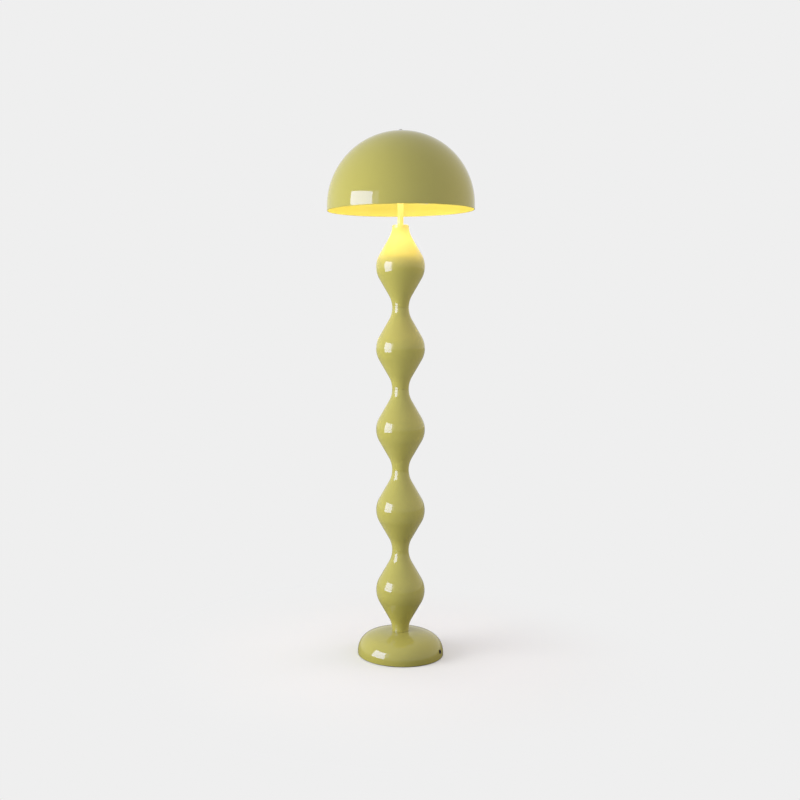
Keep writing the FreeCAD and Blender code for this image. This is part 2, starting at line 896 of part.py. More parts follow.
nodes = {
    "base_pad": make_base_pad(),
    "base_plate": make_base_plate(),
    "plate_screws": make_plate_screws(),
    "base_weight": make_base_weight(),
    "base_cover": make_base_cover(),
    "cord_grommet": make_cord_grommet(),
    "terminal_block": make_terminal_block(),
    "terminal_barrels": make_terminal_barrels(),
    "block_screw": make_block_screw(),
    "base_washer": make_base_washer(),
    "spring_washer": make_spring_washer(),
    "base_nut": make_base_nut(),
    "foot_ring": make_foot_ring(),
    "lower_tube": make_lower_tube(),
    "upper_tube": make_upper_tube(),
    "tube_coupling": make_tube_coupling(),
    "top_collar": make_top_collar(),
    "inner_lead": make_inner_lead(),
    "tube_plug": make_tube_plug(),
    "holder_nipple": make_holder_nipple(),
    "holder_nut": make_holder_nut(),
    "holder_cap": make_holder_cap(),
    "holder_skirt": make_holder_skirt(),
    "holder_core": make_holder_core(),
    "screw_shell": make_screw_shell(),
    "centre_contact": make_centre_contact(),
    "bulb_globe": make_bulb_globe(),
    "bulb_cap": make_bulb_cap(),
    "bulb_insulator": make_bulb_insulator(),
    "bulb_tip": make_bulb_tip(),
    "shade_bracket": make_shade_bracket(),
    "shade_stud": make_shade_stud(),
    "stud_nut": make_stud_nut(),
    "seat_plate": make_seat_plate(),
    "seat_gasket": make_seat_gasket(),
    "shade": make_shade(),
    "finial_washer": make_finial_washer(),
    "finial_nut": make_finial_nut(),
}
for number in range(bead_count):
    nodes[f"bead_{number + 1}"] = make_bead(number)
for number in range(1, bead_count):
    nodes[f"neck_spigot_{number}"] = make_neck_spigot(number)

os.makedirs("parts", exist_ok=True)
for name, shape in nodes.items():
    if not shape.isValid() or shape.Volume <= 0:
        raise ValueError(f"{name} isn't a sound solid")
    shape.exportStep(f"parts/{name}.step")

print(f"column {column_bottom:.1f} to {column_top:.1f}, tube top {tube_top:.1f}")
print(f"rim {rim_height:.1f}, crown {shade_flat_top:.1f}, top {finial_bottom + finial_height:.1f}")
print(f"crown radius of the base {crown_radius:.1f}, lead bend {lead_bend_radius:.1f}")
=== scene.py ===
import math

import bmesh
import bpy
from mathutils import Matrix, Vector


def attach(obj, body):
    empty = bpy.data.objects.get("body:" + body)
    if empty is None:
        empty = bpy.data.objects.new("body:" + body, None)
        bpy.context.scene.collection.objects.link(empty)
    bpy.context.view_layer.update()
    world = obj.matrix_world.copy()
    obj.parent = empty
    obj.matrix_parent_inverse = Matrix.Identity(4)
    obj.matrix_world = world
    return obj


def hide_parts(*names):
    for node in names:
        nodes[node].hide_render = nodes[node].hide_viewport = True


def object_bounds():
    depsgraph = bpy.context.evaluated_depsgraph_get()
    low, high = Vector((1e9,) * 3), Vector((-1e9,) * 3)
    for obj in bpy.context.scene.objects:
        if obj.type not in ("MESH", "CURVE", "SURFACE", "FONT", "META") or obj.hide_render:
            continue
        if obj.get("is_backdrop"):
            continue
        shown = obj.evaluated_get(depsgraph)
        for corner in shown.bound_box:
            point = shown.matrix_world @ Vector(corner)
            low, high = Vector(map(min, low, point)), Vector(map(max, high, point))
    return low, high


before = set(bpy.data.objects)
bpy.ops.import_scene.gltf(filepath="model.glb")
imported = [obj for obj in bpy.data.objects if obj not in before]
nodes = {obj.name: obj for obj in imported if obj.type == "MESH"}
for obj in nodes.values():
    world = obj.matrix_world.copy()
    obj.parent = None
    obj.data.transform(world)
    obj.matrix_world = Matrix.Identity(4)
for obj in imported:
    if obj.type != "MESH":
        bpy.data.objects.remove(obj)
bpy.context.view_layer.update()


# ---------------------------------------------------------------------------- camera
# The lamp is seen from a little left of its front, from about a metre up. The lens
# looks slightly down and to the right, and the picture is framed beside its axis.

picture_size = 800                       # pixels, square
focal_length_pixels = 1054.026
lens_axis_column, lens_axis_row = 321.85, 357
film_width = 36                          # millimetres
camera_place = Vector((-0.270978, -2.867827, 0.956584))
camera_turn = math.radians(1.127)        # to the right
camera_tilt = math.radians(-2.715)       # down
camera_roll = math.radians(-0.1845)

add_to_scene = bpy.context.scene.collection.objects.link

lens = bpy.data.cameras.new("camera")
lens.sensor_width = film_width
lens.lens = focal_length_pixels / picture_size * film_width
lens.shift_x = (picture_size / 2 - lens_axis_column) / picture_size
lens.shift_y = (lens_axis_row - picture_size / 2) / picture_size
camera = bpy.data.objects.new("camera", lens)
camera.location = camera_place
camera.rotation_euler = (
    Matrix.Rotation(-camera_turn, 3, "Z")
    @ Matrix.Rotation(math.pi / 2 + camera_tilt, 3, "X")
    @ Matrix.Rotation(camera_roll, 3, "Z")
).to_euler()
add_to_scene(camera)
bpy.context.scene.camera = camera
bpy.context.scene.view_settings.view_transform = "Standard"


# ---------------------------------------------------------------------------- studio
# A pale seamless floor and backdrop, a soft key light from the left, a weaker fill from
# the right, and even light from all round. A tall window of three panes shows only in
# the lacquer's reflections.

background_level = 0.863                 # the photograph's pale grey
ambient_level = 0.60
floor_size = 40.0
floor_colour = 0.74
floor_lit_level = 0.692                  # what the lights give the floor in the open
floor_colour_in_bounces = 0.68           # keeps the lamp's lower parts from washing out
# painted shade: for bounced light the floor is darker near the lamp, shading the lamp's
# lower parts
painted_shade_floor_colour = 0.22
floor_level_in_reflections = 0.40        # the lacquer's lower sides mirror a duller floor
floor_fade = (0.16, 0.75)                # from the lit floor to the plain backdrop
foot_edge = (0.1165, 0.1175)             # the floor is dark under the lamp's foot

# An azimuth of 0 is the lamp's front, and positive ones are to its left as it is seen.
light_distance, light_size = 4.5, 3.0
light_aim = 0.72                         # half of the lamp's height
soft_lights = (                          # name, azimuth, elevation, power, colour
    ("key", 73, 8, 197, (0.98, 1.0, 1.0)),
    ("fill", -101, 12, 54, (1.0, 0.79, 0.90)),
)
window_distance, window_colour = 2.7, (0.57, 0.605, 1.0)
window_panes = (                         # name, azimuth, bottom, top, width, power
    ("window_upper", 66.4, 0.60, 2.02, 1.86, 93),
    ("window_lower", 66.4, 0.10, 0.565, 1.86, 30),
    ("window_side", 41.8, 0.60, 2.02, 0.40, 2.8),
)


def add_node(tree, kind, values=None, **settings):
    """Adds a shader node, sets its options, and fills or links its inputs."""
    node = tree.nodes.new(kind)
    for option, value in settings.items():
        setattr(node, option, value)
    for socket, value in (values or {}).items():
        if isinstance(value, bpy.types.NodeSocket):
            tree.links.new(value, node.inputs[socket])
        else:
            node.inputs[socket].default_value = value
    return node


def computed(tree, operation, first, second=0.0, third=0.0):
    """The result of one Math node."""
    return add_node(
        tree, "ShaderNodeMath", {0: first, 1: second, 2: third}, operation=operation
    ).outputs[0]


def remapped(tree, value, start=(0.0, 1.0), end=(0.0, 1.0), **settings):
    """A value carried over from one range to another, and kept inside it."""
    return add_node(
        tree, "ShaderNodeMapRange",
        {"Value": value, "From Min": start[0], "From Max": start[1],
         "To Min": end[0], "To Max": end[1]},
        **settings,
    ).outputs[0]


def background_ray(tree):
    """1 for the rays that show the background: camera, glossy and transmission rays."""
    path = add_node(tree, "ShaderNodeLightPath").outputs
    seen = computed(tree, "MAXIMUM", path["Is Camera Ray"], path["Is Glossy Ray"])
    return computed(tree, "MAXIMUM", seen, path["Is Transmission Ray"])


world = bpy.data.worlds.new("world")
bpy.context.scene.world = world
world.use_nodes = True
sky = world.node_tree
brightness = remapped(sky, background_ray(sky), end=(ambient_level, background_level))
sky.nodes["Background"].inputs["Color"].default_value = (1, 1, 1, 1)
sky.links.new(brightness, sky.nodes["Background"].inputs["Strength"])

half = floor_size / 2
floor_mesh = bpy.data.meshes.new("floor")
floor_mesh.from_pydata(
    [(-half, -half, 0), (half, -half, 0), (half, half, 0), (-half, half, 0)],
    [], [(0, 1, 2, 3)],
)
floor = bpy.data.objects.new("floor", floor_mesh)
add_to_scene(floor)
floor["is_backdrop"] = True

# Near the lamp the floor shows the lights and the shadow, and further out it fades into
# the backdrop. A light of its own lifts it to the backdrop's level for the camera, and
# to less in reflections. Seen from below, it lets the lamp show.
floor_paint = bpy.data.materials.new("floor paint")
floor_paint.use_nodes = True
floor_mesh.materials.append(floor_paint)
tree = floor_paint.node_tree
tree.nodes.clear()
shown = background_ray(tree)
seen = add_node(tree, "ShaderNodeLightPath").outputs["Is Camera Ray"]
geometry = add_node(tree, "ShaderNodeNewGeometry").outputs
away = add_node(
    tree, "ShaderNodeVectorMath", {0: geometry["Position"]}, operation="LENGTH"
).outputs["Value"]
far = remapped(tree, away, floor_fade, interpolation_type="SMOOTHSTEP")
near_lift = computed(
    tree, "MULTIPLY", remapped(tree, seen, end=(0.0, background_level - floor_lit_level)),
    remapped(tree, away, foot_edge),
)
far_lift = remapped(tree, seen, end=(floor_level_in_reflections, background_level))
lift = computed(tree, "MULTIPLY", remapped(tree, far, end=(near_lift, far_lift)), shown)
# Painted shade: near the lamp, bounced light meets a darker floor
bounce = remapped(tree, far, end=(painted_shade_floor_colour, floor_colour_in_bounces))
paleness = remapped(tree, seen, end=(bounce, floor_colour))
surface = add_node(
    tree, "ShaderNodeMixShader",
    {0: computed(tree, "MULTIPLY", far, shown),
     1: add_node(tree, "ShaderNodeBsdfDiffuse", {"Color": paleness}).outputs[0],
     2: add_node(tree, "ShaderNodeEmission", {"Strength": 0}).outputs[0]},
)
glow = add_node(tree, "ShaderNodeEmission", {"Strength": lift})
whole = add_node(
    tree, "ShaderNodeAddShader", {0: surface.outputs[0], 1: glow.outputs[0]}
)
one_sided = add_node(
    tree, "ShaderNodeMixShader",
    {0: geometry["Backfacing"], 1: whole.outputs[0],
     2: add_node(tree, "ShaderNodeBsdfTransparent").outputs[0]},
)
add_node(tree, "ShaderNodeOutputMaterial", {"Surface": one_sided.outputs[0]})


def soft_light(name, azimuth, elevation, distance, aim, size, power, colour):
    """A rectangular light that faces the lamp's axis at height aim."""
    panel = bpy.data.lights.new(name, "AREA")
    panel.shape = "RECTANGLE"
    panel.size, panel.size_y = size
    panel.energy = power
    panel.color = colour
    turn, rise = math.radians(azimuth), math.radians(elevation)
    towards = Vector(
        (-math.sin(turn) * math.cos(rise), -math.cos(turn) * math.cos(rise), math.sin(rise))
    )
    light = bpy.data.objects.new(name, panel)
    light.location = Vector((0, 0, aim)) + towards * distance
    light.rotation_euler = towards.to_track_quat("Z", "Y").to_euler()
    light.visible_camera = False
    add_to_scene(light)
    return light


for name, azimuth, elevation, power, colour in soft_lights:
    light = soft_light(
        name, azimuth, elevation, light_distance, light_aim, (light_size, light_size),
        power, colour,
    )
    light.visible_glossy = False
for name, azimuth, low, high, width, power in window_panes:
    pane = soft_light(
        name, azimuth, 0, window_distance, (low + high) / 2, (width, high - low),
        power, window_colour,
    )
    pane.visible_diffuse = False
    pane.visible_transmission = False


# -------------------------------------------------------------------------- foam pad
# A ring-cut sheet of black foam rubber under the bottom plate, so that the lamp doesn't
# scratch a floor. It is glued on, and its four holes leave room for the screws' heads.

foam_colour = (0.030, 0.030, 0.031, 1)
foam_dust = (0.075, 0.072, 0.066, 1)
foam_cell = 0.0011


def new_group(name, inputs):
    """A group that makes a surface's colour, roughness and height. Its inputs are named
    with their usual values, and it is returned with its two ends."""
    group = bpy.data.node_groups.new(name, "ShaderNodeTree")
    for label, value in inputs.items():
        kind = "NodeSocketColor" if isinstance(value, tuple) else "NodeSocketFloat"
        socket = group.interface.new_socket(label, in_out="INPUT", socket_type=kind)
        socket.default_value = value
    for label, kind in (("Color", "NodeSocketColor"), ("Roughness", "NodeSocketFloat"),
                        ("Height", "NodeSocketFloat")):
        group.interface.new_socket(label, in_out="OUTPUT", socket_type=kind)
    return (
        group,
        group.nodes.new("NodeGroupInput").outputs,
        group.nodes.new("NodeGroupOutput").inputs,
    )


def give(group, result, **surface):
    """Links what a group has worked out to its outputs."""
    for label, value in surface.items():
        group.links.new(value, result[label])


def noise(tree, vector, feature, detail, roughness=0.5):
    """A noise from 0 to 1 whose features are about the given size, in metres."""
    return add_node(
        tree, "ShaderNodeTexNoise",
        {"Vector": vector, "Scale": computed(tree, "DIVIDE", 1.0, feature),
         "Detail": detail, "Roughness": roughness},
    ).outputs["Fac"]


def blended(tree, share, first, second):
    """A colour between two colours."""
    return add_node(
        tree, "ShaderNodeMix", {0: share, 6: first, 7: second}, data_type="RGBA"
    ).outputs[2]


# Fine cells or grain over a soft change of colour: foam, rubber, cast iron, plastic.
patch_dulling = 0.14                     # how far the roughness wanders with the patches
grained, given, result = new_group(
    "grained surface",
    {"Colour": (0.5, 0.5, 0.5, 1), "Patch Colour": (0.5, 0.5, 0.5, 1),
     "Patch Size": 0.03, "Grain Size": 0.001, "Grain Darkness": 0.1, "Roughness": 0.7},
)
place = add_node(grained, "ShaderNodeTexCoord").outputs["Object"]
patches = noise(grained, place, given["Patch Size"], detail=4)
grain = noise(grained, place, given["Grain Size"], detail=3, roughness=0.6)
darkening = computed(grained, "MULTIPLY", grain, given["Grain Darkness"])
darkened = add_node(
    grained, "ShaderNodeHueSaturation",
    {"Color": blended(grained, patches, given["Colour"], given["Patch Colour"]),
     "Value": computed(grained, "SUBTRACT", 1.0, darkening)},
)
smoothest = computed(grained, "SUBTRACT", given["Roughness"], patch_dulling / 2)
give(
    grained, result,
    Color=darkened.outputs["Color"],
    Roughness=computed(grained, "MULTIPLY_ADD", patches, patch_dulling, smoothest),
    Height=grain,
)


def new_finish(name, group, values, relief, plain=None):
    """A material: one Principled shader fed by a surface group. Relief is the depth of
    the group's texture in metres, and plain holds what is the same all over."""
    material = bpy.data.materials.new(name)
    material.use_nodes = True
    tree = material.node_tree
    shader = tree.nodes["Principled BSDF"]
    surface = tree.nodes.new("ShaderNodeGroup")
    surface.node_tree = group
    for socket, value in values.items():
        surface.inputs[socket].default_value = value
    tree.links.new(surface.outputs["Color"], shader.inputs["Base Color"])
    tree.links.new(surface.outputs["Roughness"], shader.inputs["Roughness"])
    bump = add_node(
        tree, "ShaderNodeBump",
        {"Strength": 1.0, "Distance": relief, "Height": surface.outputs["Height"]},
    )
    tree.links.new(bump.outputs["Normal"], shader.inputs["Normal"])
    for socket, value in (plain or {}).items():
        shader.inputs[socket].default_value = value
    return material


def dress(node_name, material):
    """Gives a carried-over part of the frame its finish."""
    for material_slot in nodes[node_name].material_slots:
        material_slot.material = material


foam = new_finish(
    "foam rubber", grained,
    {"Colour": foam_colour, "Patch Colour": foam_dust, "Patch Size": 0.035,
     "Grain Size": foam_cell, "Grain Darkness": 0.9, "Roughness": 0.92},
    relief=0.0004,
)
dress("base_pad", foam)


# ------------------------------------------------------ bottom plate and small steel
# The bottom plate, its screws, the clamping nut and washers, the tubes' steel, and the
# head's nuts. Stamped, turned or rolled steel, zinc plated: a cool grey with clouds.

zinc_colour = (0.56, 0.57, 0.59, 1)
zinc_cloud = (0.42, 0.43, 0.45, 1)
zinc_parts = (
    "base_plate", "plate_screws", "base_washer", "spring_washer", "base_nut",
    "block_screw", "lower_tube", "tube_coupling", "neck_spigot_1", "neck_spigot_2",
    "neck_spigot_3", "neck_spigot_4", "holder_nipple", "holder_nut", "shade_stud",
    "stud_nut", "seat_plate",
)


def turned_rings(tree, place, width, detail, roughness=0.5):
    """A noise in rings round the lamp's axis, as turning and spinning leave them."""
    apart = add_node(tree, "ShaderNodeSeparateXYZ", {0: place}).outputs
    square = computed(
        tree, "MULTIPLY_ADD", apart["X"], apart["X"],
        computed(tree, "MULTIPLY", apart["Y"], apart["Y"]),
    )
    ring = add_node(
        tree, "ShaderNodeCombineXYZ", {0: computed(tree, "SQRT", square), 1: apart["Z"]}
    )
    return noise(tree, ring.outputs[0], width, detail, roughness)


# Plated or bare metal: clouds of tarnish, and fine rings left by turning.
cloud_edges = (0.4, 0.7)                 # in the noise, from bright to tarnished
cloud_dulling, ring_dulling = 0.12, 0.08
turned_metal, given, result = new_group(
    "turned metal",
    {"Colour": (0.5, 0.5, 0.5, 1), "Cloud Colour": (0.4, 0.4, 0.4, 1),
     "Cloud Size": 0.02, "Ring Width": 0.0004, "Roughness": 0.3},
)
place = add_node(turned_metal, "ShaderNodeTexCoord").outputs["Object"]
clouds = remapped(
    turned_metal,
    noise(turned_metal, place, given["Cloud Size"], detail=5, roughness=0.6),
    cloud_edges,
)
rings = turned_rings(turned_metal, place, given["Ring Width"], detail=2, roughness=0.7)
dulled = computed(turned_metal, "MULTIPLY_ADD", rings, ring_dulling, given["Roughness"])
give(
    turned_metal, result,
    Color=blended(turned_metal, clouds, given["Colour"], given["Cloud Colour"]),
    Roughness=computed(turned_metal, "MULTIPLY_ADD", clouds, cloud_dulling, dulled),
    Height=rings,
)

zinc = new_finish(
    "zinc plate", turned_metal,
    {"Colour": zinc_colour, "Cloud Colour": zinc_cloud, "Cloud Size": 0.018,
     "Ring Width": 0.0005, "Roughness": 0.30},
    relief=0.00001, plain={"Metallic": 1.0},
)
for part in zinc_parts:
    dress(part, zinc)


# ----------------------------------------------------------------------- base weight
# A disc of grey cast iron with a boss that the cover rests on. Sand cast, dipped in
# black paint, and machined only where the nut and the cover bear on it.

cast_black = (0.055, 0.055, 0.058, 1)
cast_rust = (0.110, 0.078, 0.055, 1)

cast_iron = new_finish(
    "cast iron", grained,
    {"Colour": cast_black, "Patch Colour": cast_rust, "Patch Size": 0.05,
     "Grain Size": 0.0022, "Grain Darkness": 0.5, "Roughness": 0.62},
    relief=0.0009,
)
dress("base_weight", cast_iron)


# ------------------------------------------------------------------------ base cover
# A deep-drawn steel cap over the weight: an upright edge, a round shoulder and a low
# crown with a flat seat for the column. Sprayed with high-gloss olive lacquer.

cover_radius = 0.11725
cover_height = 0.065
cover_edge = 0.0012                      # the cover's lower edge, above the floor
edge_bend = 0.0013                       # the pressed edge turns in a little
cover_upright = 0.0086                   # where the shoulder begins
cover_wall = 0.0015
cover_seat_radius = 0.031
shoulder_radius = 0.049
crown_rise = 0.0074
tube_hole = 0.0082
outlet_turn = math.radians(-28)          # from the lamp's right towards its front
outlet_radius = 0.0043
outlet_height = 0.021

olive = (0.445, 0.405, 0.095, 1)
olive_drift = (0.425, 0.385, 0.088, 1)
dust_colour = (0.50, 0.49, 0.42, 1)

# Sprayed lacquer: a slow drift of colour, a faint orange peel, and dust on what faces
# up. Spun and drawn metal keeps very shallow rings under the paint.
dust_slope = (0.25, 1.0)                 # how far up a face looks, from bare to dusty
speck_size = 0.012
speck_edges = (0.35, 0.75)               # in the noise, from thin to thick dust
speck_cover = (0.5, 1.0)
drift_dulling, dust_dulling = 0.015, 0.1
lacquered, given, result = new_group(
    "lacquered metal",
    {"Colour": olive, "Drift Colour": olive_drift, "Dust Colour": dust_colour,
     "Drift Size": 0.12, "Peel Size": 0.0025, "Ring Width": 0.004, "Ring Share": 0.3,
     "Dust": 0.1, "Roughness": 0.1},
)
place = add_node(lacquered, "ShaderNodeTexCoord").outputs["Object"]
drift = noise(lacquered, place, given["Drift Size"], detail=3)
peel = noise(lacquered, place, given["Peel Size"], detail=1)
rings = turned_rings(lacquered, place, given["Ring Width"], detail=1)
normal = add_node(lacquered, "ShaderNodeNewGeometry").outputs["Normal"]
facing = add_node(lacquered, "ShaderNodeSeparateXYZ", {0: normal}).outputs["Z"]
specks = remapped(
    lacquered, noise(lacquered, place, speck_size, detail=6, roughness=0.7),
    speck_edges, speck_cover,
)
settled = computed(lacquered, "MULTIPLY", remapped(lacquered, facing, dust_slope), specks)
dust = computed(lacquered, "MULTIPLY", settled, given["Dust"])
painted = blended(lacquered, drift, given["Colour"], given["Drift Colour"])
dulling = computed(
    lacquered, "MULTIPLY_ADD", drift, drift_dulling,
    computed(lacquered, "MULTIPLY", dust, dust_dulling),
)
give(
    lacquered, result,
    Color=blended(lacquered, dust, painted, given["Dust Colour"]),
    Roughness=computed(lacquered, "ADD", given["Roughness"], dulling),
    Height=computed(lacquered, "MULTIPLY_ADD", rings, given["Ring Share"], peel),
)

nothing = 1e-8                           # metres: a shorter length counts as none


def arc_points(centre, radius, start, end, step):
    """Points of an arc in the radius-height plane, between two angles in degrees and
    at most a step apart."""
    count = max(2, math.ceil(abs(end - start) / step))
    points = []
    for number in range(count + 1):
        turn = math.radians(start + (end - start) * number / count)
        points.append(
            (centre[0] + radius * math.cos(turn), centre[1] + radius * math.sin(turn))
        )
    return points


def eased(outline, ease):
    """Rounds an outline's corners with small arcs, so that its edges catch the light."""
    least_corner = math.radians(18)      # flatter bends stay as they are
    longest_reach = 0.45                 # share of the side that a corner may take
    bend_steps = 4
    rounded = []
    count = len(outline)
    for number in range(count):
        before, here, after = (
            Vector(outline[(number + offset) % count]) for offset in (-1, 0, 1)
        )
        entry, leave = here - before, after - here
        is_corner = min(here.x, entry.length, leave.length) > nothing
        turn = entry.angle(leave) if is_corner else 0.0
        if turn < least_corner:
            rounded.append(tuple(here))
            continue
        reach = min(
            ease * math.tan(turn / 2),
            entry.length * longest_reach, leave.length * longest_reach,
        )
        first, last = here - entry.normalized() * reach, here + leave.normalized() * reach
        for step in range(bend_steps + 1):
            share = step / bend_steps
            rounded.append(
                tuple(first.lerp(here, share).lerp(here.lerp(last, share), share))
            )
    return rounded


def piece_from(name, mesh):
    """Turns a bmesh into an object, smooth shaded between its sharp edges."""
    sharp_edge = math.radians(38)
    bmesh.ops.recalc_face_normals(mesh, faces=mesh.faces)
    data = bpy.data.meshes.new(name)
    mesh.to_mesh(data)
    mesh.free()
    data.shade_smooth()
    data.set_sharp_from_angle(angle=sharp_edge)
    piece = bpy.data.objects.new(name, data)
    add_to_scene(piece)
    weighted = piece.modifiers.new("even shading", "WEIGHTED_NORMAL")
    weighted.keep_sharp = True
    return piece


def ring_of_points(mesh, radius, height, sides):
    """A ring of a mesh's points round the lamp's axis, or one point on it."""
    if radius < nothing:
        return [mesh.verts.new((0, 0, height))]
    turns = [math.tau * side / sides for side in range(sides)]
    return [
        mesh.verts.new((radius * math.cos(turn), radius * math.sin(turn), height))
        for turn in turns
    ]


def lathe(name, outline, sides=192):
    """A piece turned round the lamp's axis from a closed outline of (radius, height)."""
    mesh = bmesh.new()
    rings = [ring_of_points(mesh, radius, height, sides) for radius, height in outline]
    for lower, upper in zip(rings, rings[1:] + rings[:1]):
        if len(lower) == len(upper) == 1:
            continue
        for side in range(sides):
            after = (side + 1) % sides
            corners = [lower[side % len(lower)], lower[after % len(lower)],
                       upper[after % len(upper)], upper[side % len(upper)]]
            mesh.faces.new(list(dict.fromkeys(corners)))
    return piece_from(name, mesh)


def drill(piece, radius, place, axis):
    """Cuts a round hole through a piece's wall."""
    bit_sides, bit_length = 48, 0.012
    mesh = bmesh.new()
    bmesh.ops.create_cone(
        mesh, cap_ends=True, segments=bit_sides, radius1=radius, radius2=radius,
        depth=bit_length,
        matrix=(Matrix.Translation(place)
                @ axis.to_track_quat("Z", "Y").to_matrix().to_4x4()),
    )
    data = bpy.data.meshes.new("drill")
    mesh.to_mesh(data)
    mesh.free()
    bit = bpy.data.objects.new("drill", data)
    add_to_scene(bit)
    piece.modifiers["even shading"].show_viewport = False
    cut = piece.modifiers.new("hole", "BOOLEAN")
    cut.operation, cut.solver, cut.object = "DIFFERENCE", "EXACT", bit
    drilled = piece.evaluated_get(bpy.context.evaluated_depsgraph_get())
    piece.data = bpy.data.meshes.new_from_object(drilled)
    piece.modifiers.remove(cut)
    piece.modifiers["even shading"].show_viewport = True
    bpy.data.objects.remove(bit)


def put_on(piece, material, body, plain_solid):
    """Finishes a piece, ties it to its body, and hides the plain solid it stands for."""
    piece.data.materials.append(material)
    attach(piece, body)
    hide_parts(plain_solid)


def cover_side(inset):
    """The cover's side from its lower edge to the seat, moved inwards by inset."""
    reach = cover_radius - shoulder_radius - cover_seat_radius
    drop = cover_height - cover_upright
    crown_radius = (reach**2 + drop**2 - shoulder_radius**2) / (2 * crown_rise)
    low = (cover_radius - shoulder_radius, cover_upright)
    high = (cover_seat_radius, cover_height - crown_radius)
    meet = math.degrees(math.atan2(low[1] - high[1], low[0] - high[0]))
    side = [(cover_radius - inset, cover_edge)]
    side += arc_points(low, shoulder_radius - inset, 0, meet, step=1.5)
    side += arc_points(high, crown_radius - inset, meet, 90, step=0.8)[1:]
    return side


cover_outline = arc_points(
    (cover_radius - edge_bend, cover_edge + edge_bend), edge_bend, -90, 0, step=15
)
cover_outline += cover_side(0)[1:]
cover_outline += [(tube_hole, cover_height), (tube_hole, cover_height - cover_wall)]
cover_outline += cover_side(cover_wall)[::-1]
cover = lathe("base_cover_shell", eased(cover_outline, ease=0.0005), sides=320)
outlet_lean = math.asin((outlet_height - cover_upright) / shoulder_radius)
outlet_reach = cover_radius - shoulder_radius * (1 - math.cos(outlet_lean))
outwards = Vector((math.cos(outlet_turn), math.sin(outlet_turn), 0))
drill(
    cover, outlet_radius, outwards * outlet_reach + Vector((0, 0, outlet_height)),
    outwards * math.cos(outlet_lean) + Vector((0, 0, math.sin(outlet_lean))),
)

olive_lacquer = new_finish(
    "olive lacquer", lacquered,
    {"Colour": olive, "Drift Colour": olive_drift, "Dust": 0.02, "Roughness": 0.020,
     "Drift Size": 0.10, "Ring Width": 0.003, "Ring Share": 0.4},
    relief=0.0000012, plain={"IOR": 1.52},
)
put_on(cover, olive_lacquer, "stand", "base_cover")


# ----------------------------------------------------------------------- cord outlet
# A soft rubber grommet snapped into a hole low on the cover, right of the front: a round
# flange outside, a waist in the sheet's thickness, and a lip inside. The gasket that the
# shade sits on is cut from the same rubber.

rubber_black = (0.022, 0.022, 0.022, 1)
rubber_bloom = (0.048, 0.046, 0.043, 1)

black_rubber = new_finish(
    "black rubber", grained,
    {"Colour": rubber_black, "Patch Colour": rubber_bloom, "Patch Size": 0.006,
     "Grain Size": 0.0006, "Grain Darkness": 0.35, "Roughness": 0.58},
    relief=0.00006,
)
for part in ("cord_grommet", "seat_gasket"):
    dress(part, black_rubber)


# ----------------------------------------------------------- terminal block and lead
# A moulded block with two brass barrels, screwed into the weight. From it the sheathed
# inner lead runs up the tube to the lamp holder, whose live parts are brass as well.

block_white = (0.74, 0.73, 0.68, 1)
block_shade = (0.66, 0.65, 0.59, 1)
sheath_white = (0.68, 0.67, 0.63, 1)
sheath_shade = (0.58, 0.56, 0.52, 1)
brass_bright = (0.72, 0.53, 0.23, 1)
brass_brown = (0.47, 0.31, 0.12, 1)

block_plastic = new_finish(
    "moulded block", grained,
    {"Colour": block_white, "Patch Colour": block_shade, "Patch Size": 0.012,
     "Grain Size": 0.0005, "Grain Darkness": 0.12, "Roughness": 0.48},
    relief=0.00004,
)
dress("terminal_block", block_plastic)
lead_sheath = new_finish(
    "lead sheath", grained,
    {"Colour": sheath_white, "Patch Colour": sheath_shade, "Patch Size": 0.02,
     "Grain Size": 0.0009, "Grain Darkness": 0.10, "Roughness": 0.42},
    relief=0.00003,
)
dress("inner_lead", lead_sheath)
brass = new_finish(
    "brass", turned_metal,
    {"Colour": brass_bright, "Cloud Colour": brass_brown, "Cloud Size": 0.012,
     "Ring Width": 0.0004, "Roughness": 0.24},
    relief=0.00001, plain={"Metallic": 1.0},
)
for part in ("terminal_barrels", "screw_shell", "centre_contact"):
    dress(part, brass)


# ------------------------------------------------------------------------- foot ring
# A thin turned ring between the base and the lowest bead. It hides the joint, and its
# rim stands a little out of the neck. Lacquered with the column.

foot_ring_radius = 0.02375
foot_ring_bottom, foot_ring_top = 0.065, 0.0665
locating_radius = 0.0169
locating_top = 0.0765

foot_ring_outline = [
    (tube_hole, foot_ring_bottom), (foot_ring_radius, foot_ring_bottom),
    (foot_ring_radius, foot_ring_top), (locating_radius, foot_ring_top),
    (locating_radius, locating_top), (tube_hole, locating_top),
]
foot_ring = lathe("foot_ring_turned", eased(foot_ring_outline, ease=0.0006))
put_on(foot_ring, olive_lacquer, "stand", "foot_ring")


# ----------------------------------------------------------------------------- beads
# Five equal hollow beads of pressed steel on the tube, with a turned ring in each neck.
# Straight flanks run from the slim necks to a rounded belly. Olive lacquer.

bead_count = 5
bead_pitch = 0.222
bead_bottom = 0.0665
belly_radius, neck_radius = 0.0665, 0.02275
flank_angle = 30                         # degrees from upright
bead_wall = 0.0012
bead_end_ring = 0.006                    # height of the thick rings at both ends
bead_end_bore = 0.017
bead_end_gap = 0.00001                   # the ends stand back a hair at their rims


